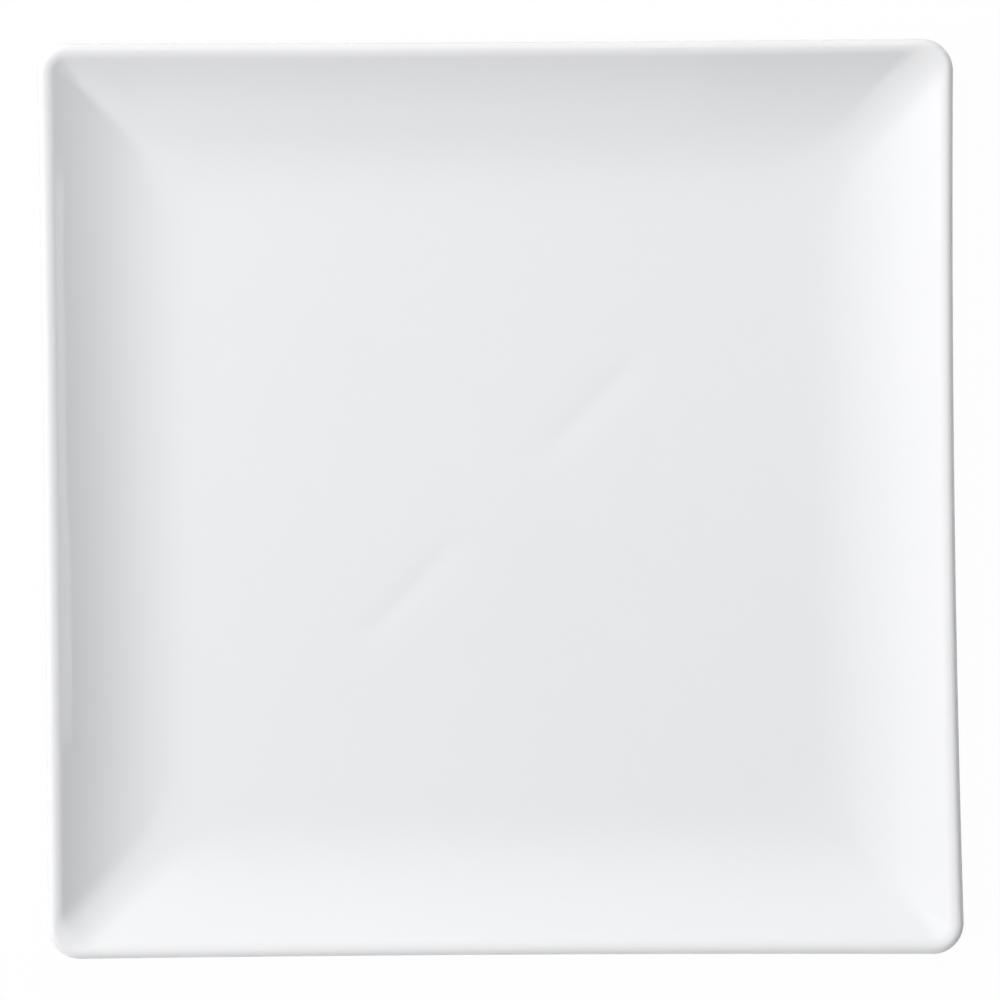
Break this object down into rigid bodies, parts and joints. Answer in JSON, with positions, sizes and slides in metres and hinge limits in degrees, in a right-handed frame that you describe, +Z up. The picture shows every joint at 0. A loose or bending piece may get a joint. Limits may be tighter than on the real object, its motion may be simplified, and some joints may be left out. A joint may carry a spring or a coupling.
{
  "type": "square plate",
  "caption": "White glazed porcelain plate with a flat square well, sloping walls, a rolled rim and a square foot ring.",
  "frame": {"origin": "centre of the plate on the surface that it stands on", "axes": "+Z up out of the well; +X to the right and +Y away from the viewer, along the sides, as the picture shows them"},
  "size_m": [0.2608, 0.2608, 0.022],
  "materials": {
    "porcelain_biscuit": "matt fired clay, covered by the glaze",
    "white_glaze": "glossy, cool white",
    "bare_porcelain": "matt, ground smooth where it stands"
  },
  "bodies": {
    "root": {"porcelain_body": "porcelain_biscuit", "face_glaze": "white_glaze", "base_glaze": "white_glaze", "foot_ring": "bare_porcelain", "support_rib_1": "white_glaze", "support_rib_2": "white_glaze", "support_rib_3": "white_glaze", "support_rib_4": "white_glaze"}
  },
  "joints": []
}
